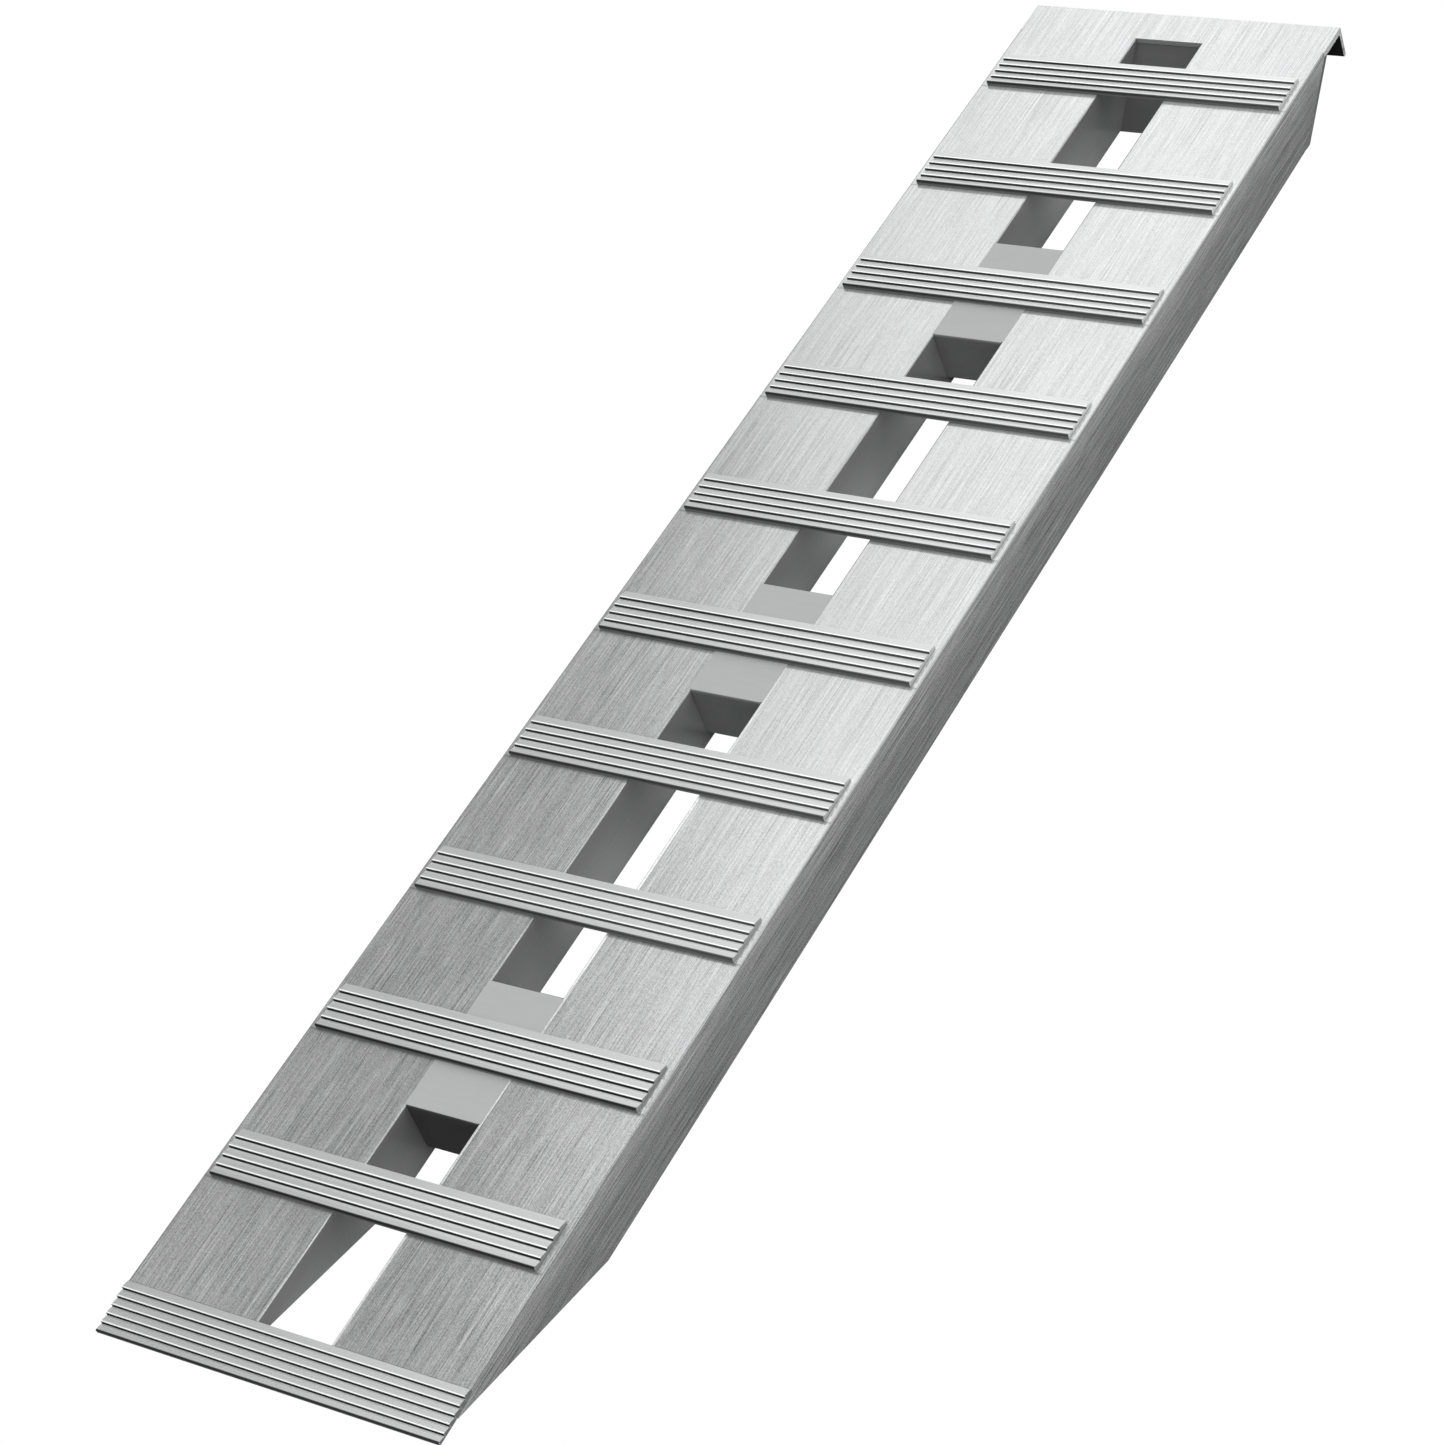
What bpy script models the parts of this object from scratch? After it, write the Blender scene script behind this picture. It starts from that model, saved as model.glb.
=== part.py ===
"""Welded aluminium loading ramp with a trailer hook, 72 in long and 14 in wide.

Frame: metres, +X across the ramp, +Y up the ramp towards the hook, +Z out of the deck.
The origin is the middle of the ramp on the plane that the rails' feet stand on.
"""

import math

import bmesh
import bpy
from mathutils import Vector

# Overall sizes
RAMP_WIDTH = 0.3556
DECK_LENGTH = 1.778          # hook corner to the upper edge of the toe plate
TOE_LENGTH = 0.0508          # toe plate, along its own slope
TOE_TILT = math.radians(6.0)
FIT_GAP = 0.0003             # between pieces that are welded together

# Deck rails: channel sections with the web edges down
RAIL_WIDTH = 0.1397
RAIL_DEPTH = 0.067
RAIL_WALL = 0.004
RAIL_LIP = 0.014             # inward foot under each web
RAIL_OUTER_RADIUS = 0.0015
RAIL_INNER_RADIUS = 0.001
RAIL_FOOT_RADIUS = 0.001

# Hook angle and the plate that closes the rails' upper ends
HOOK_LEG = 0.04445
HOOK_LEG_THICKNESS = 0.00635
HOOK_LIP_HEIGHT = 0.035
HOOK_LIP_THICKNESS = 0.00476
HOOK_REBATE = 0.0006         # recess under the leg that locates the end plate
HOOK_CORNER_RADIUS = 0.0015
END_PLATE_TOP = 0.038        # hook corner to the plate's outer face, under the leg
END_PLATE_FOOT = 0.1105      # the same at the foot
END_PLATE_THICKNESS = 0.00476

# Treads and toe plate: bars with saw teeth whose steps face down the ramp
TREAD_COUNT = 10
TREAD_WIDTH = 0.0508
TREAD_TEETH = 5
TREAD_ROOT = 0.0024
TREAD_CREST = 0.0048
TREAD_INSET = 0.0079         # bar end to the deck's side edge
FIRST_TREAD = 0.1172         # hook corner to the first tread's middle
TREAD_PITCH = 0.1688
CREST_FLAT = 0.0014          # worn land on top of each tooth
TOE_TEETH = 6
TOE_TOOTH_HEIGHT = 0.0024
TOE_THICKNESS = 0.0036       # under the roots of the teeth
TOE_TIP_THICKNESS = 0.0014
TOE_FLAT = 0.026             # underside length before it thins towards the tip

# Taper under the toe end
HEEL = 1.594                 # hook corner to the start of the taper
TAPER = 0.2877               # rise per unit length
WEB_END = 0.024              # how far the webs reach under the toe plate

# Cross members in the slot between the rails
CROSS_LENGTH = 0.145
CROSS_DEPTH = 0.055          # shallower than the rails, so the members' feet clear the ground
CROSS_WALL = 0.004
CROSS_RADIUS = 0.002
CROSS_OFFSET = 0.0045        # down the ramp from the tread above
CROSS_TREADS = {"upper": 3, "middle": 6, "lower": 9}

ARC_STEPS = 4
WELD_DISTANCE = 0.00001
CUT_MARGIN = 0.01            # how far a cutting outline stands clear of the material

SLOT_WIDTH = RAMP_WIDTH - 2.0 * RAIL_WIDTH
TOE_REACH = TOE_LENGTH * math.cos(TOE_TILT) + TOE_TOOTH_HEIGHT * math.sin(TOE_TILT)
TOTAL_LENGTH = DECK_LENGTH + TOE_REACH
TOP_Y = TOTAL_LENGTH / 2.0
DECK_Z = RAIL_DEPTH
LEG_UNDERSIDE = DECK_Z - HOOK_LEG_THICKNESS
END_SLANT = (END_PLATE_FOOT - END_PLATE_TOP) / LEG_UNDERSIDE

ALUMINIUM = {
    "rail": ((0.62, 0.62, 0.63, 1.0), 0.38),
    "hook": ((0.72, 0.72, 0.73, 1.0), 0.36),
    "tread": ((0.76, 0.76, 0.76, 1.0), 0.30),
    "plate": ((0.55, 0.55, 0.56, 1.0), 0.45),
}


def along(distance):
    """Y of a point that lies the given distance down the ramp from the hook corner."""
    return TOP_Y - distance


def clear_scene():
    for old in list(bpy.data.objects):
        bpy.data.objects.remove(old, do_unlink=True)


def new_collection(name):
    collection = bpy.data.collections.new(name)
    bpy.context.scene.collection.children.link(collection)
    return collection


def aluminium(node, kind):
    colour, roughness = ALUMINIUM[kind]
    material = bpy.data.materials.new(node + "_aluminium")
    material.use_nodes = True
    shader = material.node_tree.nodes["Principled BSDF"]
    shader.inputs["Base Color"].default_value = colour
    shader.inputs["Metallic"].default_value = 1.0
    shader.inputs["Roughness"].default_value = roughness
    return material


def rounded(corners):
    """Outline points from (a, b, radius) corners, each rounded corner as an arc."""
    points = []
    count = len(corners)
    for index, (a, b, radius) in enumerate(corners):
        corner = Vector((a, b))
        if radius == 0.0:
            points.append(corner)
            continue
        before = Vector(corners[index - 1][:2]) - corner
        after = Vector(corners[(index + 1) % count][:2]) - corner
        before.normalize()
        after.normalize()
        half_angle = before.angle(after) / 2.0
        centre = corner + (before + after).normalized() * (radius / math.sin(half_angle))
        start = corner + before * (radius / math.tan(half_angle)) - centre
        end = corner + after * (radius / math.tan(half_angle)) - centre
        sweep = start.angle_signed(end)
        for step in range(ARC_STEPS + 1):
            turn = -sweep * step / ARC_STEPS
            cosine, sine = math.cos(turn), math.sin(turn)
            spoke = Vector((start.x * cosine - start.y * sine, start.x * sine + start.y * cosine))
            points.append(centre + spoke)
    return points


def prism(name, outline, length, rotation, collection):
    """Closed mesh made from a flat outline and extruded evenly to both sides of its plane."""
    curve = bpy.data.curves.new(name + "_outline", "CURVE")
    curve.dimensions = "2D"
    curve.fill_mode = "BOTH"
    curve.extrude = length / 2.0
    spline = curve.splines.new("POLY")
    spline.points.add(len(outline) - 1)
    for point, (a, b) in zip(spline.points, outline):
        point.co = (a, b, 0.0, 1.0)
    spline.use_cyclic_u = True
    drawn = bpy.data.objects.new(name + "_outline", curve)
    collection.objects.link(drawn)
    bpy.context.view_layer.update()
    mesh = bpy.data.meshes.new_from_object(
        drawn.evaluated_get(bpy.context.evaluated_depsgraph_get())
    )
    bpy.data.objects.remove(drawn, do_unlink=True)
    bpy.data.curves.remove(curve)

    cage = bmesh.new()
    cage.from_mesh(mesh)
    bmesh.ops.remove_doubles(cage, verts=cage.verts, dist=WELD_DISTANCE)
    bmesh.ops.recalc_face_normals(cage, faces=cage.faces)
    cage.to_mesh(mesh)
    cage.free()
    mesh.name = name
    mesh.materials.clear()

    piece = bpy.data.objects.new(name, mesh)
    piece.rotation_euler = rotation
    collection.objects.link(piece)
    return piece


# An outline drawn in (x, z) and extruded along the ramp
ALONG_RAMP = (math.radians(90.0), 0.0, 0.0)
# An outline drawn in (y, z) and extruded across the ramp
ACROSS_RAMP = (math.radians(90.0), 0.0, math.radians(90.0))


def rail_section():
    """Inverted channel: top flange, two webs and their inward feet."""
    half = RAIL_WIDTH / 2.0
    inside = half - RAIL_WALL
    lip_tip = half - RAIL_LIP
    ceiling = RAIL_DEPTH - RAIL_WALL
    return rounded([
        (-half, 0.0, RAIL_FOOT_RADIUS),
        (-half, RAIL_DEPTH, RAIL_OUTER_RADIUS),
        (half, RAIL_DEPTH, RAIL_OUTER_RADIUS),
        (half, 0.0, RAIL_FOOT_RADIUS),
        (lip_tip, 0.0, RAIL_FOOT_RADIUS),
        (lip_tip, RAIL_WALL, RAIL_FOOT_RADIUS),
        (inside, RAIL_WALL, RAIL_INNER_RADIUS),
        (inside, ceiling, RAIL_INNER_RADIUS),
        (-inside, ceiling, RAIL_INNER_RADIUS),
        (-inside, RAIL_WALL, RAIL_INNER_RADIUS),
        (-lip_tip, RAIL_WALL, RAIL_FOOT_RADIUS),
        (-lip_tip, 0.0, RAIL_FOOT_RADIUS),
    ])


def toe_point(reach, rise):
    """(y, z) of a point given down the toe plate's slope and out of its face."""
    cosine, sine = math.cos(TOE_TILT), math.sin(TOE_TILT)
    return (
        along(DECK_LENGTH) - reach * cosine - rise * sine,
        DECK_Z - reach * sine + rise * cosine,
    )


def slanted_end(z, depth):
    """Distance from the hook corner to a plane at this depth behind the end plate's face."""
    return END_PLATE_TOP + (LEG_UNDERSIDE - z) * END_SLANT + depth * math.hypot(1.0, END_SLANT)


def rail_side_outline():
    """Side view of a rail, open above and below so that only its ends and taper are cut."""
    above = DECK_Z + CUT_MARGIN
    below = -CUT_MARGIN
    behind_plate = END_PLATE_THICKNESS + FIT_GAP
    flange_end = HOOK_LEG + FIT_GAP
    corner_z = LEG_UNDERSIDE + (slanted_end(LEG_UNDERSIDE, behind_plate) - flange_end) / END_SLANT
    under_toe = -TOE_THICKNESS - FIT_GAP
    web_end_y, web_end_z = toe_point(WEB_END, under_toe)
    sole_at_web_end = (along(HEEL) - web_end_y) * TAPER
    return [
        (along(flange_end), above),
        (along(flange_end), corner_z),
        (along(slanted_end(below, behind_plate)), below),
        (along(HEEL + below / TAPER), below),
        (web_end_y, sole_at_web_end),
        (web_end_y, web_end_z),
        toe_point(-FIT_GAP, under_toe),
        toe_point(-FIT_GAP, CUT_MARGIN),
    ]


def build_rail(node, centre_x, parts, cutters):
    rail = prism(node, rail_section(), TOTAL_LENGTH, ALONG_RAMP, parts)
    rail.location = (centre_x, 0.0, 0.0)
    rail.data.materials.append(aluminium(node, "rail"))

    side_width = RAIL_WIDTH + 2.0 * CUT_MARGIN
    side = prism(node + "_side_view", rail_side_outline(), side_width, ACROSS_RAMP, cutters)
    side.location = (centre_x, 0.0, 0.0)
    side.hide_render = True
    side.display_type = "WIRE"

    trim = rail.modifiers.new("ends_and_taper", "BOOLEAN")
    trim.operation = "INTERSECT"
    trim.solver = "EXACT"
    trim.object = side


def build_hook_plate(parts):
    rebate_z = LEG_UNDERSIDE + HOOK_REBATE
    seat_end = along(slanted_end(rebate_z, 0.0) - FIT_GAP)
    lip_inside = along(HOOK_LIP_THICKNESS)
    lip_foot = DECK_Z - HOOK_LIP_HEIGHT
    outline = rounded([
        (along(0.0), DECK_Z, HOOK_CORNER_RADIUS),
        (along(HOOK_LEG), DECK_Z, 0.0),
        (along(HOOK_LEG), rebate_z, 0.0),
        (seat_end, rebate_z, 0.0),
        (seat_end, LEG_UNDERSIDE, 0.0),
        (lip_inside, LEG_UNDERSIDE, HOOK_CORNER_RADIUS),
        (lip_inside, lip_foot, HOOK_CORNER_RADIUS),
        (along(0.0), lip_foot, HOOK_CORNER_RADIUS),
    ])
    hook = prism("hook_plate", outline, RAMP_WIDTH, ACROSS_RAMP, parts)
    hook.data.materials.append(aluminium("hook_plate", "hook"))


def build_top_end_plate(parts):
    top_z = LEG_UNDERSIDE + HOOK_REBATE - FIT_GAP
    outline = [
        (along(slanted_end(top_z, 0.0)), top_z),
        (along(slanted_end(0.0, 0.0)), 0.0),
        (along(slanted_end(0.0, END_PLATE_THICKNESS)), 0.0),
        (along(slanted_end(top_z, END_PLATE_THICKNESS)), top_z),
    ]
    plate = prism("top_end_plate", outline, RAMP_WIDTH, ACROSS_RAMP, parts)
    plate.data.materials.append(aluminium("top_end_plate", "plate"))


def saw_teeth(teeth, pitch, root, crest):
    """Top line of a serrated bar, from its uphill edge: ramps up, then steps down."""
    line = []
    for tooth in range(teeth):
        start = -tooth * pitch
        end = start - pitch
        line.append((start, root))
        line.append((end + CREST_FLAT, crest))
        line.append((end, crest))
    return line


def build_tread(number, parts):
    node = "tread_%02d" % number
    half = TREAD_WIDTH / 2.0
    teeth = saw_teeth(TREAD_TEETH, TREAD_WIDTH / TREAD_TEETH, TREAD_ROOT, TREAD_CREST)
    outline = [(half + y, z) for y, z in teeth]
    outline += [(-half, 0.0), (half, 0.0)]
    tread = prism(node, outline, RAMP_WIDTH - 2.0 * TREAD_INSET, ACROSS_RAMP, parts)
    centre_y = along(FIRST_TREAD + (number - 1) * TREAD_PITCH)
    tread.location = (0.0, centre_y, DECK_Z + FIT_GAP)
    tread.data.materials.append(aluminium(node, "tread"))


def build_toe_plate(parts):
    slope = bpy.data.objects.new("toe_slope", None)
    slope.location = (0.0, along(DECK_LENGTH), DECK_Z)
    slope.rotation_euler = (TOE_TILT, 0.0, 0.0)
    parts.objects.link(slope)

    outline = saw_teeth(TOE_TEETH, TOE_LENGTH / TOE_TEETH, 0.0, TOE_TOOTH_HEIGHT)
    outline += [
        (-TOE_LENGTH, -TOE_TIP_THICKNESS),
        (-TOE_FLAT, -TOE_THICKNESS),
        (0.0, -TOE_THICKNESS),
    ]
    toe = prism("toe_plate", outline, RAMP_WIDTH, ACROSS_RAMP, parts)
    toe.parent = slope
    toe.data.materials.append(aluminium("toe_plate", "tread"))


def build_cross_member(position, tread_number, parts):
    node = "cross_member_" + position
    half = CROSS_LENGTH / 2.0
    inside = half - CROSS_WALL
    foot = DECK_Z - CROSS_DEPTH
    ceiling = DECK_Z - CROSS_WALL
    outline = rounded([
        (-half, foot, 0.0),
        (-half, DECK_Z, CROSS_RADIUS),
        (half, DECK_Z, CROSS_RADIUS),
        (half, foot, 0.0),
        (inside, foot, 0.0),
        (inside, ceiling, CROSS_RADIUS),
        (-inside, ceiling, CROSS_RADIUS),
        (-inside, foot, 0.0),
    ])
    member = prism(node, outline, SLOT_WIDTH - 2.0 * FIT_GAP, ACROSS_RAMP, parts)
    tread_y = along(FIRST_TREAD + (tread_number - 1) * TREAD_PITCH)
    member.location = (0.0, tread_y - CROSS_OFFSET, 0.0)
    member.data.materials.append(aluminium(node, "plate"))


def build_ramp():
    clear_scene()
    parts = new_collection("loading_ramp")
    cutters = new_collection("cutters")

    rail_x = (RAMP_WIDTH - RAIL_WIDTH) / 2.0
    build_rail("left_rail", -rail_x, parts, cutters)
    build_rail("right_rail", rail_x, parts, cutters)
    build_hook_plate(parts)
    build_top_end_plate(parts)
    build_toe_plate(parts)
    for number in range(1, TREAD_COUNT + 1):
        build_tread(number, parts)
    for position, tread_number in CROSS_TREADS.items():
        build_cross_member(position, tread_number, parts)


build_ramp()
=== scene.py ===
"""Looks of the welded aluminium loading ramp: materials, weld beads, studio light and camera.

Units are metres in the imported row's frame: +X across the ramp, +Y up the ramp, +Z out of the deck.
"""

import math

import bmesh
import bpy
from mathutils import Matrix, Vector, noise


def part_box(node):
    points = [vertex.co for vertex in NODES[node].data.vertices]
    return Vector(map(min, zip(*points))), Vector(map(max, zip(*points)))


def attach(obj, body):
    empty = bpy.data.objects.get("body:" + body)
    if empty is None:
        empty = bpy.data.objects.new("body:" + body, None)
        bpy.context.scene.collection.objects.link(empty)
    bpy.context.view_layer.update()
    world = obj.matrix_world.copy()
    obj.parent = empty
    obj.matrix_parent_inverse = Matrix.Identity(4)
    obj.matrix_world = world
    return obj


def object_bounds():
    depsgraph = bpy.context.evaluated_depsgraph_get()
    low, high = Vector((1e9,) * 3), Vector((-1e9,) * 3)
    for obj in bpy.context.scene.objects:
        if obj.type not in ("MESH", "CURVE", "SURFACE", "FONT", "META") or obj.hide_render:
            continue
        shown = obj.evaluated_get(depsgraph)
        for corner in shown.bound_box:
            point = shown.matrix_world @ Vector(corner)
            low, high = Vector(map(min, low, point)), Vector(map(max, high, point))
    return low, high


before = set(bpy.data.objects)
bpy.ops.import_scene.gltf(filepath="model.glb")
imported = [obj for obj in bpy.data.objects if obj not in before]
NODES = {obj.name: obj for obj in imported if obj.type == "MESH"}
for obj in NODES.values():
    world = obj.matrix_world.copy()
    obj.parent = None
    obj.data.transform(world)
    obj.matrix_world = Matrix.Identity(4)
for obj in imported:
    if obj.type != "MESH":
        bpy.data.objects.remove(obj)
CAD_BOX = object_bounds()

RAILS = ("left_rail", "right_rail")
TREADS = sorted(name for name in NODES if name.startswith("tread_"))
CROSS_MEMBERS = sorted(name for name in NODES if name.startswith("cross_member_"))
TREAD_TEETH = 5
TOE_TEETH = 6
BAR_LENGTH = 0.0508          # tread and toe plate, along their teeth
TOE_TILT = math.radians(6.0)

DECK_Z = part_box("left_rail")[1].z
RAMP_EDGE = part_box("right_rail")[1].x
SLOT_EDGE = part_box("right_rail")[0].x
TREAD_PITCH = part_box("tread_01")[0].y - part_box("tread_02")[0].y
FIRST_TREAD_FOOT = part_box("tread_01")[0].y
HOOK_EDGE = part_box("hook_plate")[0].y

# A mask of faces turns on between these two values of one component of their normal
LEVEL_FACE = (0.9, 0.97)
DOWN_FACE = (-0.6, -0.8)
SIDE_FACE = (0.985, 0.995)
ROUNDED_EDGE = (0.10, 0.15)

# Brushed metal
METAL_TINT = (0.995, 1.0, 1.005)
METALLIC = 0.68
DECK_TONE = 0.50
# Painted shade: the rails' webs get a darker tone than the deck
WEB_PAINTED_SHADE_TONE = 0.40
# Painted light: the hook's end faces get a paler tone
HOOK_END_PAINTED_LIGHT_TONE = 0.62
# Painted shade on the rounded edges, which thins their highlight
EDGE_SHADE = 0.62
# Painted light and shade on the webs inside the slot
SLOT_WEB_PAINTED_TONE = 0.46
# Painted highlights on the slot's edges
LEFT_SLOT_HIGHLIGHT = 0.36
RIGHT_SLOT_HIGHLIGHT = 1.0
# Painted light on the webs under the deck's edge
WEB_PAINTED_LIGHT = 0.36
# Painted light along the right deck's middle and painted shade at its toe
MIDDLE_PAINTED_LIGHT = 0.09
TOE_PAINTED_SHADE = -0.08
# Painted shadow on the deck below each tread
TREAD_SHADOW_REACH = 0.0036
TREAD_SHADOW_SHARE = 0.65
TREAD_SHADOW_TONE = 0.18
# Painted shade inside the hook and on its leg's end
HOOK_INSIDE_PAINTED_SHADE = 0.02
HOOK_LEG_END_PAINTED_SHADE = 0.32
BRUSHED_ROUGHNESS = 0.17
BRUSHED_BUMP = 0.000001

# Grain: seed, bumps per metre on each axis, and how much each layer adds
RAIL_SEED = 1.0
SPECKLE = (1300.0, 800.0, 1300.0)
FINE_LINES = (1000.0, 30.0, 1000.0)
LONG_LINES = (900.0, 7.0, 900.0)
PATCHES = (9.0, 3.0, 9.0)
SPECKLE_SHARE = 0.8
FINE_SHARE = 0.35
LONG_SHARE = 0.5
GRAIN_SPACING = 0.0013
GRAIN_STRENGTH = 0.28
HOOK_GRAIN = 0.58            # share of the grain's strength towards the hook
WEB_GRAIN = 1.4
SLOT_GRAIN = 0.1

# Serrated metal: tones at the left and right ends of a bar, the right end paler by painted light, and bumps
# per metre on each axis
BAR_SIDES = (-0.12, 0.12)
TOOTH_TONES = (0.50, 0.56)
# Painted shade in the steps, the roots and the last land
PALE_GAP_SHADE = (0.035, 0.085)
DEEP_GAP_SHADE = (0.018, 0.022)
# Painted light that lifts each tooth's start where the step above shades it
TOOTH_START_PAINTED_LIGHT = 1.35
# Crests are bright partly from wear and partly by painted highlight
CREST_TONE = 0.95
# Painted shade on the downhill face, paler at its foot
FRONT_FOOT = 0.0040
FRONT_FOOT_PAINTED_TONE = 0.20
# Painted shade and light on the bars' end faces
BAR_END_PAINTED_TONES = (0.27, 0.64)    # near the toe and near the hook
BAR_LINES = (7.0, 420.0, 420.0)
BAR_PATCHES = (24.0, 60.0, 24.0)

# Matt plate and weld metal
MEMBER_TOP_TONE = 0.42
# Painted shade on the cross members' sides, darkest on the lower member, and over the whole end plate
MEMBER_SIDE_SHADE = 0.165
LOWER_MEMBER_SIDE_SHADE = 0.052
END_PLATE_SHADE = 0.11
MOTTLE = (70.0, 70.0, 70.0)
ROLLED_LINES = (14.0, 240.0, 240.0)
SOOT = (60.0, 60.0, 60.0)
SPATTER = (900.0, 900.0, 900.0)

# Flush seams
SEAM_HEIGHT = 0.00003        # of a seam's middle; its edges lie level with the deck
SEAM_DEPTH = 0.0012
SEAM_WANDER = 0.2
HOOK_SEAM_HALF_WIDTH = 0.0011
MEMBER_SEAM_HALF_WIDTH = 0.0015

# Fillet beads, with their legs by place
RAIL_WALL = 0.004
END_PLATE_RUN = 0.0073       # the end plate's thickness, measured along the ramp
PLATE_LEG = 0.0045
CEILING_LEG = 0.0040
TOE_LEG = 0.0038
TREAD_LEG = 0.0034
BEAD_STEP = 0.00055
BEAD_SIDES = 6
BEAD_ROOT = 0.0004           # how far a bead sinks into its corner
BEAD_CROWN = 0.16
BEAD_SWELL = 0.10
BEAD_TAPER = 0.0025
BEAD_END_SIZE = 0.35
RIPPLE_PITCH = 0.0022
RIPPLE_LAG = 0.0009
RIPPLE_DEPTH = 0.13

# Camera: the photograph's viewing angle, rounded from a camera fitted to it
CAMERA_PLACE = (1.805, -1.995, 2.345)
CAMERA_TURN = (46.32, 16.08, 29.39)      # degrees
CAMERA_LENS = 94.2

# Studio: sky brightness against the x component of its direction. The levels were solved for
# from tones in the photograph, then rounded to 0.05 and some of them changed.
SKY_STOPS = (
    (-1.00, 0.5),
    (-0.68, 0.55),
    (-0.63, 0.75),
    (-0.60, 0.4),
    (-0.57, 0.0),
    (-0.54, 0.2),
    (-0.51, 1.95),
    (-0.48, 1.5),
    (-0.44, 2.0),
    (-0.38, 1.6),
    (1.00, 1.7),
)
SKY_BEHIND = 0.55
SKY_TURN = 0.25
SKY_SCALE = 4.0
FLOOR_ALBEDO = 0.30
FLOOR_SIZE = 14.0
FLOOR_DROP = 0.0005
WHITE = (1.0, 1.0, 1.0, 1.0)


class Graph:
    """Short calls that add nodes to one node tree and link them."""

    def __init__(self, tree):
        self.tree = tree

    def feed(self, socket, source):
        if isinstance(source, bpy.types.NodeSocket):
            self.tree.links.new(source, socket)
        else:
            socket.default_value = source

    def add(self, kind, inputs=(), output=0, **settings):
        node = self.tree.nodes.new(kind)
        for key, setting in settings.items():
            setattr(node, key, setting)
        for socket, source in dict(inputs).items():
            self.feed(node.inputs[socket], source)
        return node.outputs[output]

    def maths(self, operation, a, b=0.0):
        return self.add("ShaderNodeMath", {0: a, 1: b}, operation=operation)

    def plus(self, a, b):
        return self.maths("ADD", a, b)

    def minus(self, a, b):
        return self.maths("SUBTRACT", a, b)

    def times(self, a, b):
        return self.maths("MULTIPLY", a, b)

    def most(self, a, b):
        return self.maths("MAXIMUM", a, b)

    def size(self, value):
        return self.maths("ABSOLUTE", value)

    def vary(self, base, pattern, amount):
        """The base value with some of a pattern added."""
        return self.plus(base, self.times(pattern, amount))

    def lift(self, level, share):
        """The level, made brighter by a share of itself."""
        return self.times(level, self.plus(1.0, share))

    def span(self, value, low, high, low_result=0.0, high_result=1.0):
        """Smooth step from low_result to high_result as value goes from low to high."""
        inputs = {0: value, 1: low, 2: high, 3: low_result, 4: high_result}
        return self.add("ShaderNodeMapRange", inputs, interpolation_type="SMOOTHSTEP")

    def mix(self, factor, a, b):
        return self.add("ShaderNodeMix", {0: factor, 2: a, 3: b}, data_type="FLOAT")

    def tint(self, value, colour):
        """The grey level value times a colour."""
        grey = self.add("ShaderNodeCombineXYZ", {0: value, 1: value, 2: value})
        return self.add("ShaderNodeVectorMath", {0: grey, 1: colour}, operation="MULTIPLY")

    def split(self, vector):
        """Sockets of a vector's x, y and z."""
        node = self.tree.nodes.new("ShaderNodeSeparateXYZ")
        self.feed(node.inputs[0], vector)
        return node.outputs

    def to_viewer(self):
        """Sockets of the direction from the shaded point to the viewer."""
        return self.split(self.add("ShaderNodeNewGeometry", output="Incoming"))

    def seen_by_camera(self):
        return self.add("ShaderNodeLightPath", output="Is Camera Ray")

    def noise(self, point, per_metre, seed=0.0, detail=2.0, roughness=0.5):
        """Noise from about -1 to 1, with its own number of bumps per metre on each axis."""
        stretched = self.add(
            "ShaderNodeVectorMath", {0: point, 1: per_metre, 2: (seed, 1.7 * seed, 2.3 * seed)},
            operation="MULTIPLY_ADD",
        )
        inputs = {"Vector": stretched, "Scale": 1.0, "Detail": detail, "Roughness": roughness}
        raw = self.add("ShaderNodeTexNoise", inputs, noise_dimensions="3D")
        return self.times(self.minus(raw, 0.5), 4.0)

    def ridges(self, point, per_metre, seed):
        """Noise whose bumps stand one grain spacing apart, across the ramp or down a web."""
        offset = (GRAIN_SPACING, 0.0, GRAIN_SPACING)
        beside = self.add("ShaderNodeVectorMath", {0: point, 1: offset}, operation="ADD")
        return self.minus(self.noise(point, per_metre, seed, 0.0), self.noise(beside, per_metre, seed, 0.0))


class Metal(Graph):
    """A metal's node tree, with sockets for the shaded point and its face's own normal."""

    def __init__(self, name):
        self.material = bpy.data.materials.new(name)
        self.material.use_nodes = True
        super().__init__(self.material.node_tree)
        self.shader = self.tree.nodes["Principled BSDF"]
        self.point = self.add("ShaderNodeTexCoord", output="Object")
        self.x, self.y, self.z = self.split(self.point)
        normal = self.add("ShaderNodeNewGeometry", output="True Normal")
        self.normal_x, self.normal_y, self.normal_z = self.split(normal)

    def set_specular(self, level):
        self.feed(self.shader.inputs["Specular IOR Level"], level)

    def finish(self, level, metallic, roughness, height, bump_distance):
        """Feeds the shader, with the height as a bump, and returns the material."""
        bump = self.add("ShaderNodeBump", {"Height": height, "Strength": 1.0, "Distance": bump_distance})
        self.feed(self.shader.inputs["Base Color"], self.tint(level, METAL_TINT))
        self.feed(self.shader.inputs["Metallic"], metallic)
        self.feed(self.shader.inputs["Roughness"], roughness)
        self.feed(self.shader.inputs["Normal"], bump)
        return self.material


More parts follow.
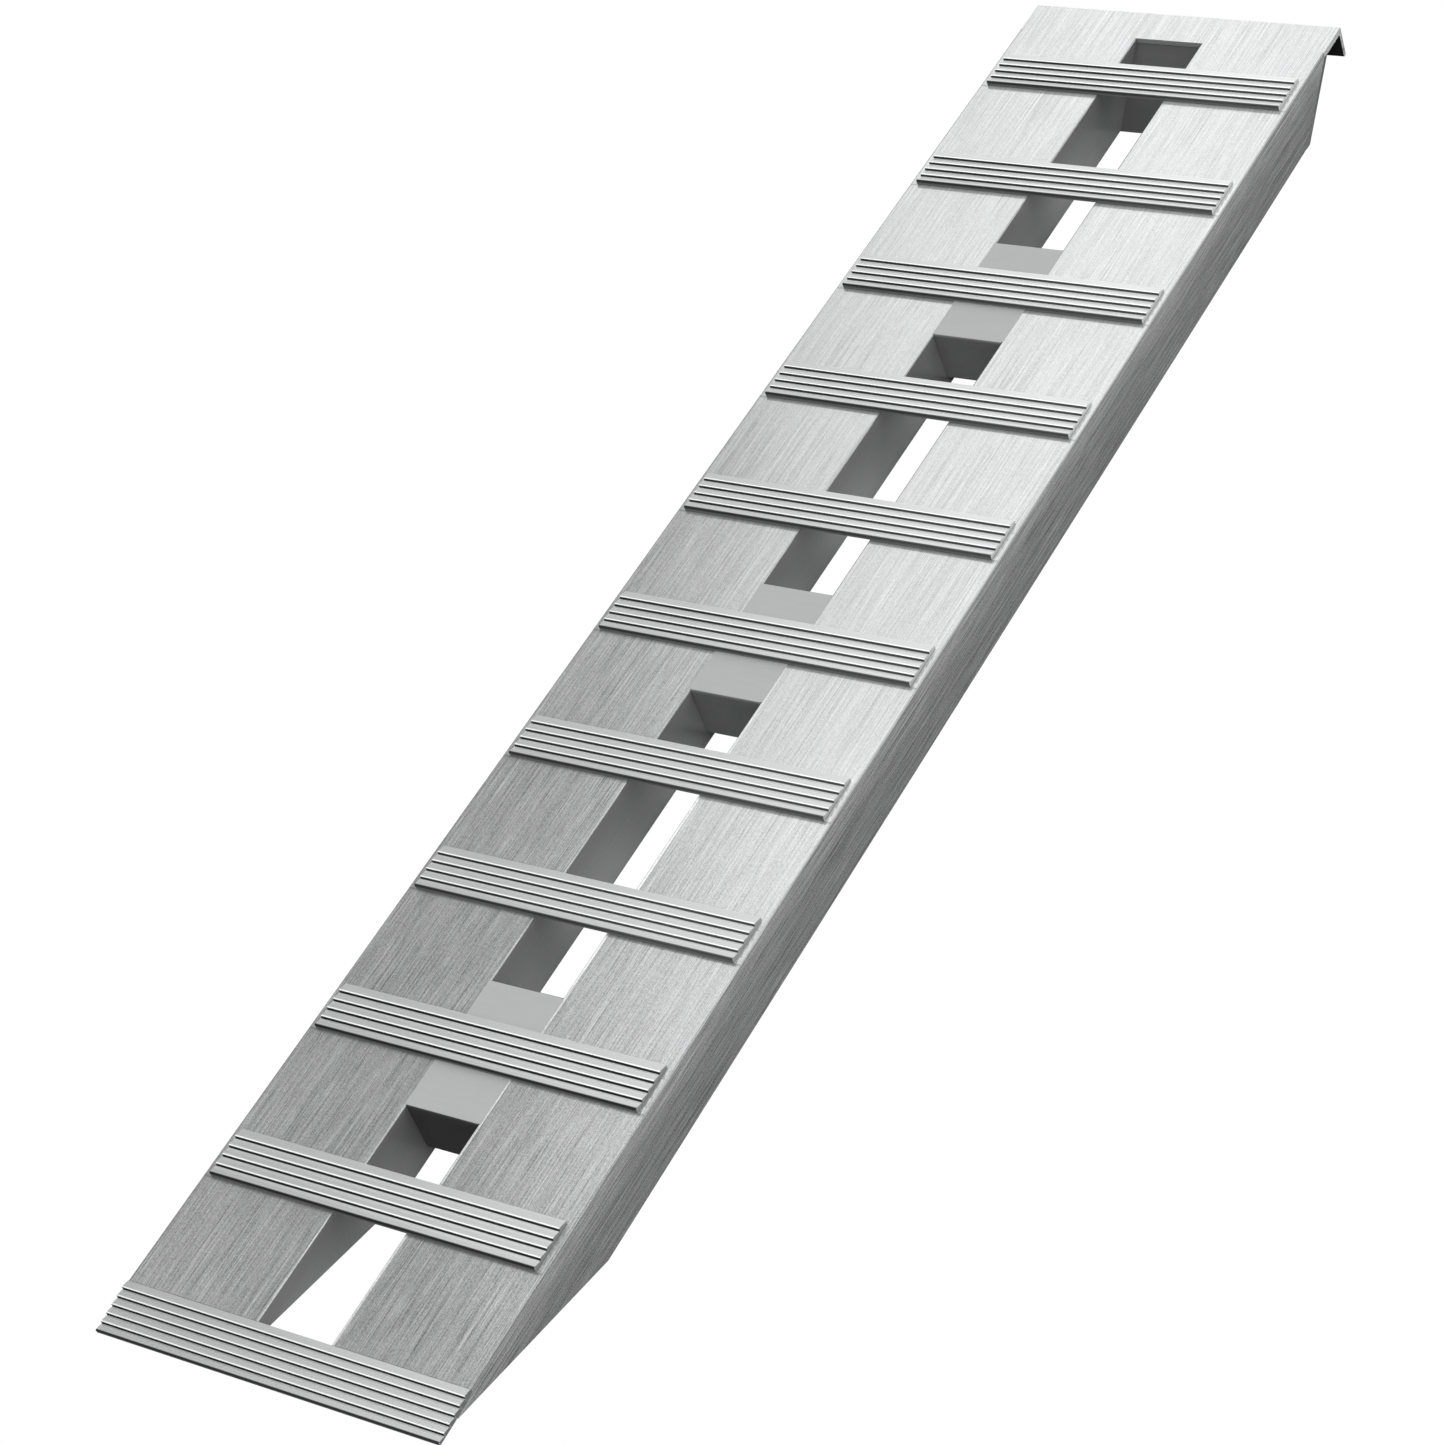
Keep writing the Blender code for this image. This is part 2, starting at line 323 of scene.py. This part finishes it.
class Brushed(Metal):
    """Mill-brushed aluminium, with its layers of grain and the masks of its webs and rounded edges."""

    def __init__(self, name, side_painted_tone):
        super().__init__(name)
        self.fine = self.ridges(self.point, FINE_LINES, RAIL_SEED + 3.0)
        self.lines = self.ridges(self.point, LONG_LINES, RAIL_SEED + 5.0)
        self.patches = self.noise(self.point, PATCHES, RAIL_SEED + 7.0, 4.0)
        sideways = self.size(self.normal_x)
        self.web = self.span(sideways, *SIDE_FACE)
        self.edge = self.times(self.span(sideways, *ROUNDED_EDGE), self.minus(1.0, self.web))
        # Sideways faces take the side tone: painted shade on the rails' webs, painted light on the hook's
        # ends
        level = self.mix(self.web, DECK_TONE, side_painted_tone)
        # Painted shade on the rounded edges
        self.level = self.times(level, self.mix(self.edge, 1.0, EDGE_SHADE))
        self.strength = self.grain_strength()

    def grain_strength(self):
        """Most towards the left of the toe and least at the hook, and even on the webs."""
        upward = self.span(self.plus(self.times(self.x, 1.6), self.y), -0.5, 0.15)
        strength = self.mix(upward, GRAIN_STRENGTH, HOOK_GRAIN * GRAIN_STRENGTH)
        return self.mix(self.web, strength, WEB_GRAIN * GRAIN_STRENGTH)

    def on_right(self):
        return self.span(self.x, -0.01, 0.01)

    def paint_slot_edge_highlights(self):
        """Painted highlights on the slot's edges towards the toe, the right-hand one brightest."""
        slot_highlight = self.span(self.size(self.x), SLOT_EDGE + 0.0036, SLOT_EDGE + 0.0028)
        on_edge = self.mix(self.on_right(), self.edge, self.minus(1.0, self.web))
        slot_highlight = self.times(self.times(slot_highlight, on_edge), self.span(self.y, 0.05, -0.35))
        bright = self.mix(self.on_right(), LEFT_SLOT_HIGHLIGHT, RIGHT_SLOT_HIGHLIGHT)
        self.level = self.mix(slot_highlight, self.level, bright)

    def paint_light_on_webs(self):
        """Painted light: the webs are palest under the deck's edge."""
        glow = self.times(self.web, self.span(self.z, DECK_Z - 0.030, DECK_Z - 0.004))
        self.level = self.lift(self.level, self.times(glow, WEB_PAINTED_LIGHT))

    def smooth_and_paint_slot_webs(self):
        """The webs in the slot have little grain. Their tone is painted light, paler low down, and painted
        shade, darker near the hook.
        """
        in_slot = self.span(self.size(self.x), SLOT_EDGE + 0.0012, SLOT_EDGE + 0.0006)
        in_slot = self.times(in_slot, self.web)
        level = self.mix(self.span(self.z, DECK_Z, 0.005), 1.05 * SLOT_WEB_PAINTED_TONE, 1.85 * SLOT_WEB_PAINTED_TONE)
        level = self.times(level, self.span(self.y, HOOK_EDGE - 0.075, HOOK_EDGE - 0.045, 1.0, 0.78))
        self.level = self.mix(in_slot, self.level, level)
        self.strength = self.mix(in_slot, self.strength, SLOT_GRAIN * GRAIN_STRENGTH)

    def paint_right_deck_light_and_shade(self):
        """Painted light and shade: the right-hand deck is paler along its middle and darker at its toe."""
        deck = self.times(self.span(self.x, 0.0, 0.01), self.span(self.normal_z, *LEVEL_FACE))
        middle = self.times(self.span(self.y, -0.02, -0.28), self.span(self.y, -0.62, -0.36))
        toe = self.span(self.y, -0.50, -0.85, 0.0, TOE_PAINTED_SHADE)
        deck_light_and_shade = self.plus(self.times(middle, MIDDLE_PAINTED_LIGHT), toe)
        self.level = self.lift(self.level, self.times(deck, deck_light_and_shade))

    def brush(self):
        """Adds the grain and the patches."""
        speckle = self.noise(self.point, SPECKLE, RAIL_SEED, 0.0)
        drawn = self.plus(self.times(self.fine, FINE_SHARE), self.times(self.lines, LONG_SHARE))
        grain = self.plus(self.times(speckle, SPECKLE_SHARE), drawn)
        self.level = self.lift(self.level, self.times(grain, self.strength))
        self.level = self.vary(self.level, self.patches, 0.008)

    def paint_shadow_below_treads(self):
        """Painted shadow on the deck just below each tread bar."""
        treads_down = self.maths("DIVIDE", self.minus(FIRST_TREAD_FOOT, self.y), TREAD_PITCH)
        below = self.times(self.maths("FRACT", treads_down), TREAD_PITCH)
        tread_shadow = self.times(self.span(below, TREAD_SHADOW_REACH, 0.0), self.span(self.normal_z, *LEVEL_FACE))
        self.level = self.mix(self.times(tread_shadow, TREAD_SHADOW_SHARE), self.level, TREAD_SHADOW_TONE)

    def paint_shade_inside_hook(self):
        """Painted shade on the hook's inner faces, and on its leg's end in the slot, for a viewer above
        them.

        Returns the mask of those faces.
        """
        inner = self.most(self.span(self.normal_y, *DOWN_FACE), self.span(self.normal_z, *DOWN_FACE))
        inner = self.times(inner, self.span(self.to_viewer()[2], 0.0, 0.3))
        leg_end = self.span(self.y, HOOK_EDGE + 0.002, HOOK_EDGE + 0.001)
        tone = self.mix(leg_end, HOOK_INSIDE_PAINTED_SHADE, HOOK_LEG_END_PAINTED_SHADE)
        self.level = self.mix(inner, self.level, tone)
        return inner

    def finish_brushed(self, metallic):
        rough = self.vary(self.vary(BRUSHED_ROUGHNESS, self.fine, 0.012), self.patches, 0.008)
        return self.finish(self.level, metallic, rough, self.lines, BRUSHED_BUMP)


def brushed_rail(name):
    """Extrusion: fine lines along the ramp, painted highlights on the slot edges and painted shadow below
    each tread.
    """
    metal = Brushed(name, WEB_PAINTED_SHADE_TONE)
    metal.paint_slot_edge_highlights()
    metal.paint_light_on_webs()
    metal.smooth_and_paint_slot_webs()
    metal.paint_right_deck_light_and_shade()
    metal.brush()
    metal.paint_shadow_below_treads()
    return metal.finish_brushed(METALLIC)


def brushed_hook(name):
    """The hook plate's metal, and that of the seams that join it to the rails."""
    metal = Brushed(name, HOOK_END_PAINTED_LIGHT_TONE)
    metal.paint_light_on_webs()
    metal.brush()
    inner = metal.paint_shade_inside_hook()
    # The painted shade inside the hook is also made dull and unreflective
    metal.set_specular(metal.mix(inner, 0.5, 0.05))
    return metal.finish_brushed(metal.mix(inner, METALLIC, 0.0))


class Serrated(Metal):
    """Extruded bar, with its place along the teeth: 0 at its uphill edge, one more at each step."""

    def __init__(self, name, node, teeth, tilt):
        super().__init__(name)
        self.low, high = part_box(node)
        self.teeth = teeth
        down_y = self.times(self.minus(high.y, self.y), math.cos(tilt))
        down_z = self.times(self.minus(DECK_Z, self.z), math.sin(tilt))
        self.teeth_down = self.times(self.plus(down_y, down_z), teeth / BAR_LENGTH)
        self.place = self.maths("FRACT", self.teeth_down)
        self.toothed = self.span(self.normal_z, -0.6, -0.3)
        self.after_first = self.times(self.span(self.teeth_down, 0.5, 0.6), self.toothed)

    def across(self, tones):
        """From the first tone at the bar's left end to the second at its right end."""
        return self.mix(self.span(self.x, *BAR_SIDES), *tones)

    def crests(self):
        before_last = self.span(self.teeth_down, self.teeth - 0.35, self.teeth - 0.45)
        return self.times(self.span(self.place, 0.85, 0.88), self.times(before_last, self.toothed))

    def tooth_level(self, drawn, patches, crest):
        """Pale faces with bright crests. The step above shades each tooth's start, so painted light makes
        that start paler.
        """
        shaded = self.times(self.span(self.place, 0.55, 0.10), self.after_first)
        level = self.vary(self.vary(self.across(TOOTH_TONES), drawn, 0.006), patches, 0.008)
        level = self.times(level, self.mix(shaded, 1.0, TOOTH_START_PAINTED_LIGHT))
        return self.mix(crest, level, CREST_TONE)

    def painted_gap_shade(self):
        """Mask of the painted shade on the steps, the roots below them and the last land.

        They are dark to the camera only, so that the tooth faces still mirror bright metal, and
        less dark for a viewer who looks low up the ramp.
        """
        root = self.times(self.span(self.place, 0.13, 0.09), self.after_first)
        step = self.span(self.normal_y, *DOWN_FACE)
        last_land = self.span(self.teeth_down, self.teeth - 0.22, self.teeth - 0.08)
        dark = self.most(self.most(root, step), self.times(last_land, self.toothed))
        dark = self.times(dark, self.seen_by_camera())
        return self.times(dark, self.span(self.to_viewer()[1], -0.90, -0.76, 0.35, 1.0))

    def gap_shade_level(self, tones):
        """Painted shade in the gaps, its tones across the bar, paler at the foot of its downhill face."""
        foot = self.span(self.minus(self.z, self.low.z), FRONT_FOOT, 0.0)
        in_front = self.span(self.teeth_down, self.teeth - 0.2, self.teeth - 0.1)
        return self.mix(self.times(foot, in_front), self.across(tones), FRONT_FOOT_PAINTED_TONE)

    def paint_light_and_shade_on_ends(self, level):
        """The bar's end faces, with painted shade near the toe and painted light near the hook."""
        end = self.span(self.size(self.normal_x), 0.6, 0.8)
        return self.mix(end, level, self.span(self.y, -0.7, 0.3, *BAR_END_PAINTED_TONES))


def serrated_aluminium(name, node, teeth, tilt, gaps, seed):
    """Extruded tread: pale tooth faces, bright crests that are partly wear and partly painted highlight,
    and dark steps with painted shade at their feet.
    """
    metal = Serrated(name, node, teeth, tilt)
    drawn = metal.noise(metal.point, BAR_LINES, seed, 2.0)
    patches = metal.noise(metal.point, BAR_PATCHES, seed + 5.0, 3.0)
    crest = metal.crests()
    dark = metal.painted_gap_shade()
    level = metal.mix(dark, metal.tooth_level(drawn, patches, crest), metal.gap_shade_level(gaps))
    level = metal.paint_light_and_shade_on_ends(level)
    # The painted shade is also made matt and unreflective
    metallic = metal.mix(dark, metal.mix(crest, 0.6, 0.35), 0.0)
    rough = metal.mix(dark, metal.vary(0.30, drawn, 0.02), 0.8)
    metal.set_specular(metal.mix(dark, 0.5, 0.1))
    return metal.finish(level, metallic, rough, drawn, BRUSHED_BUMP)


def matt_plate(name, seed, top_level, side_shade):
    """Unbrushed plate and folded channel: matt grey with faint mottling, with painted shade on its sides,
    eased paler low down.
    """
    metal = Metal(name)
    mottle = metal.noise(metal.point, MOTTLE, seed, 4.0, 0.6)
    rolled = metal.noise(metal.point, ROLLED_LINES, seed + 4.0, 2.0)
    deep = metal.span(metal.z, DECK_Z, 0.010)
    side = metal.mix(deep, side_shade, 1.7 * side_shade)
    level = metal.mix(metal.span(metal.normal_z, 0.85, 0.95), side, top_level)
    level = metal.lift(level, metal.plus(metal.times(mottle, 0.015), metal.times(rolled, 0.015)))
    metal.set_specular(0.1)
    return metal.finish(level, 0.0, metal.vary(0.6, mottle, 0.03), rolled, 0.000002)


def weld_metal(name, seed):
    """Bright weld bead, duller in patches."""
    metal = Metal(name)
    soot = metal.noise(metal.point, SOOT, seed, 3.0)
    spatter = metal.noise(metal.point, SPATTER, seed + 2.0, 1.0)
    level = metal.vary(metal.vary(0.55, soot, 0.06), spatter, 0.02)
    return metal.finish(level, 0.75, metal.vary(0.38, soot, 0.06), spatter, 0.00004)


def give(node, material):
    mesh = NODES[node].data
    mesh.materials.clear()
    mesh.materials.append(material)


def dress_ramp():
    for rail in RAILS:
        give(rail, brushed_rail(rail + "_brushed"))
    give("hook_plate", brushed_hook("hook_brushed"))
    for seed, tread in enumerate(TREADS):
        # The two lowest treads get deeper painted shade in their gaps
        gaps = DEEP_GAP_SHADE if tread in TREADS[-2:] else PALE_GAP_SHADE
        give(tread, serrated_aluminium(tread + "_serrated", tread, TREAD_TEETH, 0.0, gaps, 2.0 * seed))
    toe = serrated_aluminium("toe_serrated", "toe_plate", TOE_TEETH, TOE_TILT, DEEP_GAP_SHADE, 51.0)
    give("toe_plate", toe)
    for seed, member in enumerate(CROSS_MEMBERS):
        side = LOWER_MEMBER_SIDE_SHADE if member.endswith("lower") else MEMBER_SIDE_SHADE
        give(member, matt_plate(member + "_matt", 5.0 * seed + 60.0, MEMBER_TOP_TONE, side))
    # The end plate is painted dark all over: painted shade
    give("top_end_plate", matt_plate("end_plate_matt", 80.0, END_PLATE_SHADE, END_PLATE_SHADE))


def new_piece(name, cage, material):
    """A mesh piece made from a bmesh, riding on the ramp's one body."""
    mesh = bpy.data.meshes.new(name)
    bmesh.ops.recalc_face_normals(cage, faces=cage.faces)
    cage.to_mesh(mesh)
    cage.free()
    mesh.materials.append(material)
    piece = bpy.data.objects.new(name, mesh)
    bpy.context.scene.collection.objects.link(piece)
    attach(piece, "root")


def loft(cage, rings, smooth):
    """Skins a list of equally long point rings and caps both ends."""
    rows = [[cage.verts.new(point) for point in ring] for ring in rings]
    count = len(rows[0])
    for row, following in zip(rows, rows[1:]):
        for index in range(count):
            other = (index + 1) % count
            face = cage.faces.new((row[index], row[other], following[other], following[index]))
            face.smooth = smooth
    cage.faces.new(rows[0])
    cage.faces.new(rows[-1])


def bead_ring(centre, side_a, side_b, size, distance):
    """One ring of a bead: its root in the corner, then its arched and rippled face."""
    ring = [centre - (side_a + side_b) * BEAD_ROOT]
    for part in range(BEAD_SIDES + 1):
        turn = part / BEAD_SIDES
        arch = 1.0 - (2.0 * turn - 1.0) ** 2
        phase = (distance + RIPPLE_LAG * arch) / RIPPLE_PITCH
        scallop = 1.0 + RIPPLE_DEPTH * arch * abs(math.sin(math.pi * phase))
        out = (side_a * (1.0 - turn) + side_b * turn) * size * scallop
        out += (side_a + side_b) * size * BEAD_CROWN * arch
        ring.append(centre + out)
    return ring


def fillet_bead(cage, start, end, side_a, side_b, leg, seed):
    """Rippled fillet weld along a corner, with one leg on each of the two surfaces that meet there."""
    start, end = Vector(start), Vector(end)
    side_a, side_b = Vector(side_a), Vector(side_b)
    run = end - start
    length = run.length
    steps = max(8, round(length / BEAD_STEP))
    rings = []
    for index in range(steps + 1):
        distance = length * index / steps
        swell = noise.noise(Vector((distance * 90.0, seed, 0.3)))
        from_end = min(1.0, min(distance, length - distance) / BEAD_TAPER)
        taper = BEAD_END_SIZE + (1.0 - BEAD_END_SIZE) * from_end ** 0.5
        size = leg * (1.0 + BEAD_SWELL * swell) * taper
        centre = start + run * (distance / length)
        rings.append(bead_ring(centre, side_a, side_b, size, distance))
    loft(cage, rings, True)


def ground_seam(cage, start, end, sideways, half_width, seed):
    """Weld ground flush with the deck: a shallow strip with slightly wandering edges."""
    start, end, sideways = Vector(start), Vector(end), Vector(sideways)
    run = end - start
    steps = max(6, round(run.length / 0.002))
    down = Vector((0.0, 0.0, -SEAM_DEPTH))
    edge = Vector((0.0, 0.0, -SEAM_HEIGHT))
    waist = sideways * half_width * 0.1
    rings = []
    for index in range(steps + 1):
        centre = start + run * (index / steps)
        left = half_width * (1.0 + SEAM_WANDER * noise.noise(Vector((index * 0.5, seed, 0.0))))
        right = half_width * (1.0 + SEAM_WANDER * noise.noise(Vector((index * 0.5, seed, 9.0))))
        rings.append([
            centre - sideways * left + edge,
            centre,
            centre + sideways * right + edge,
            centre + waist + down,
            centre - waist + down,
        ])
    loft(cage, rings, False)


def weld_hook_seams():
    """Flush welds between the hook's leg and the two decks."""
    material = brushed_hook("hook_seam_brushed")
    end_gap = 0.0016
    height = DECK_Z + SEAM_HEIGHT
    for name, low_x, high_x in (
        ("hook_seam_left", -RAMP_EDGE, -SLOT_EDGE),
        ("hook_seam_right", SLOT_EDGE, RAMP_EDGE),
    ):
        cage = bmesh.new()
        start = (low_x + end_gap, HOOK_EDGE, height)
        end = (high_x - end_gap, HOOK_EDGE, height)
        ground_seam(cage, start, end, (0.0, 1.0, 0.0), HOOK_SEAM_HALF_WIDTH, low_x)
        new_piece(name, cage, material)


def weld_member_tops():
    """Flush welds along each cross member's top edges."""
    height = DECK_Z + SEAM_HEIGHT
    end_gap = 0.002
    for seed, member in enumerate(CROSS_MEMBERS):
        low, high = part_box(member)
        cage = bmesh.new()
        for side in (-1.0, 1.0):
            x = side * (SLOT_EDGE + 0.0003)
            start = (x, low.y + end_gap, height)
            end = (x, high.y - end_gap, height)
            ground_seam(cage, start, end, (1.0, 0.0, 0.0), MEMBER_SEAM_HALF_WIDTH, seed + side)
        top = matt_plate(member + "_seam_matt", 5.0 * seed + 62.0, MEMBER_TOP_TONE, MEMBER_TOP_TONE)
        new_piece(member + "_top_welds", cage, top)


def weld_member_insides():
    """Fillets inside each cross member's channel, against the webs."""
    for seed, member in enumerate(CROSS_MEMBERS):
        low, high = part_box(member)
        cage = bmesh.new()
        ceiling = high.z - RAIL_WALL
        for side in (-1.0, 1.0):
            inward = (-side, 0.0, 0.0)
            x = side * SLOT_EDGE
            for y, along in ((low.y + RAIL_WALL, 1.0), (high.y - RAIL_WALL, -1.0)):
                start, end = (x, y, low.z + 0.004), (x, y, ceiling - 0.003)
                fillet_bead(cage, start, end, inward, (0.0, along, 0.0), PLATE_LEG, seed + side + y)
            start = (x, low.y + 0.010, ceiling)
            end = (x, high.y - 0.010, ceiling)
            fillet_bead(cage, start, end, inward, (0.0, 0.0, -1.0), CEILING_LEG, seed + side)
        inner = weld_metal(member + "_weld_metal", 90.0 + seed)
        new_piece(member + "_inner_welds", cage, inner)


def rail_insides():
    """Each rail's side, and the lowest and highest x between its webs."""
    for rail in RAILS:
        low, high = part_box(rail)
        yield rail.split("_")[0], low.x + RAIL_WALL, high.x - RAIL_WALL


def weld_end_plate():
    """Fillets inside the rails, around the slanted end plate."""
    low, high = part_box("top_end_plate")
    ceiling = DECK_Z - RAIL_WALL
    inner_top = high.y - END_PLATE_RUN
    down_plate = Vector((0.0, low.y - inner_top, low.z - high.z)).normalized()
    top = Vector((0.0, inner_top, high.z)) + down_plate * 0.005
    foot = Vector((0.0, low.y, low.z)) - down_plate * 0.008
    downhill = (0.0, -1.0, 0.0)
    material = weld_metal("end_plate_weld_metal", 97.0)
    for side, low_x, high_x in rail_insides():
        cage = bmesh.new()
        for x, inward in ((low_x, 1.0), (high_x, -1.0)):
            across = Vector((x, 0.0, 0.0))
            fillet_bead(cage, top + across, foot + across, (inward, 0.0, 0.0), downhill, PLATE_LEG, x)
        start = (low_x + 0.004, inner_top, ceiling)
        end = (high_x - 0.004, inner_top, ceiling)
        fillet_bead(cage, start, end, down_plate, downhill, PLATE_LEG, high_x)
        new_piece("end_plate_welds_" + side, cage, material)


def weld_toe():
    """Butt welds under the joint between each rail's flange and the toe plate."""
    material = weld_metal("toe_weld_metal", 103.0)
    joint_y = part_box("toe_plate")[1].y
    height = DECK_Z - RAIL_WALL + 0.25 * TOE_LEG
    for side, low_x, high_x in rail_insides():
        cage = bmesh.new()
        start = (low_x + 0.003, joint_y, height)
        end = (high_x - 0.003, joint_y, height)
        fillet_bead(cage, start, end, (0.0, 1.0, -0.25), (0.0, -1.0, -0.25), TOE_LEG, low_x)
        new_piece("toe_weld_" + side, cage, material)


def weld_treads():
    """Fillets under each tread that crosses the open slot, against the rails' edges."""
    backed = [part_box(member) for member in CROSS_MEMBERS]
    for seed, tread in enumerate(TREADS):
        low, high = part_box(tread)
        if any(member_low.y < high.y and low.y < member_high.y for member_low, member_high in backed):
            continue
        cage = bmesh.new()
        for side in (-1.0, 1.0):
            x = side * SLOT_EDGE
            start = (x, low.y + 0.004, low.z)
            end = (x, high.y - 0.004, low.z)
            fillet_bead(cage, start, end, (-side, 0.0, 0.0), (0.0, 0.0, -1.0), TREAD_LEG, seed + side)
        material = weld_metal(tread + "_weld_metal", 110.0 + seed)
        new_piece(tread + "_welds", cage, material)


def floor_material(height):
    """White to the camera and a pale matt surface to all other rays.

    It isn't there at all for a camera that stands below it, so that the sky lights the underside.
    """
    material = bpy.data.materials.new("studio_floor")
    material.use_nodes = True
    tree = material.node_tree
    tree.nodes.clear()
    graph = Graph(tree)
    white = graph.add("ShaderNodeEmission", {"Color": WHITE, "Strength": 1.0})
    matt = graph.add("ShaderNodeBsdfDiffuse", {"Color": (FLOOR_ALBEDO,) * 3 + (1.0,)})
    clear = graph.add("ShaderNodeBsdfTransparent")
    seen = graph.add("ShaderNodeMixShader", {0: graph.seen_by_camera(), 1: matt, 2: white})
    eye = graph.add(
        "ShaderNodeVectorTransform", {0: (0.0, 0.0, 0.0)},
        vector_type="POINT", convert_from="CAMERA", convert_to="WORLD",
    )
    eye_below = graph.maths("LESS_THAN", graph.split(eye)[2], height)
    backfacing = graph.add("ShaderNodeNewGeometry", output="Backfacing")
    open_floor = graph.most(backfacing, eye_below)
    surface = graph.add("ShaderNodeMixShader", {0: open_floor, 1: seen, 2: clear})
    output = tree.nodes.new("ShaderNodeOutputMaterial")
    tree.links.new(surface, output.inputs["Surface"])
    return material


def build_floor():
    mesh = bpy.data.meshes.new("floor")
    half = FLOOR_SIZE / 2.0
    corners = [(-half, -half, 0.0), (half, -half, 0.0), (half, half, 0.0), (-half, half, 0.0)]
    mesh.from_pydata(corners, [], [(0, 1, 2, 3)])
    floor = bpy.data.objects.new("floor", mesh)
    floor.location.z = CAD_BOX[0].z - FLOOR_DROP
    bpy.context.scene.collection.objects.link(floor)
    mesh.materials.append(floor_material(floor.location.z))


def sky_ramp(tree, place):
    """Colour ramp through the sky's stops, with its levels divided by SKY_SCALE."""
    ramp = tree.nodes.new("ShaderNodeValToRGB")
    tree.links.new(place, ramp.inputs[0])
    stops = ramp.color_ramp.elements
    while len(stops) < len(SKY_STOPS):
        stops.new(0.5)
    for stop, (across, level) in zip(stops, SKY_STOPS):
        stop.position = across * 0.5 + 0.5
        stop.color = (level / SKY_SCALE,) * 3 + (1.0,)
    return ramp.outputs["Color"]


def build_sky():
    """Soft studio surround: dim towards -X and bright from there on, seen white by the camera."""
    world = bpy.data.worlds.new("studio")
    bpy.context.scene.world = world
    world.use_nodes = True
    tree = world.node_tree
    graph = Graph(tree)
    direction = graph.split(graph.add("ShaderNodeTexCoord", output="Generated"))
    place = graph.plus(graph.times(direction[0], 0.5), 0.5)
    ahead = graph.span(direction[1], -SKY_TURN, SKY_TURN, SKY_BEHIND, 1.0)
    glow = graph.times(graph.times(sky_ramp(tree, place), SKY_SCALE), ahead)
    background = tree.nodes["Background"]
    background.inputs["Color"].default_value = WHITE
    graph.feed(background.inputs["Strength"], graph.mix(graph.seen_by_camera(), glow, 1.0))


def build_camera():
    data = bpy.data.cameras.new("camera")
    data.lens = CAMERA_LENS
    data.sensor_width = 36.0
    data.clip_end = 100.0
    camera = bpy.data.objects.new("camera", data)
    camera.location = CAMERA_PLACE
    camera.rotation_euler = [math.radians(angle) for angle in CAMERA_TURN]
    bpy.context.scene.collection.objects.link(camera)
    bpy.context.scene.camera = camera


dress_ramp()
weld_hook_seams()
weld_member_tops()
weld_member_insides()
weld_end_plate()
weld_toe()
weld_treads()
build_floor()
build_sky()
build_camera()
bpy.context.scene.view_settings.view_transform = "Standard"
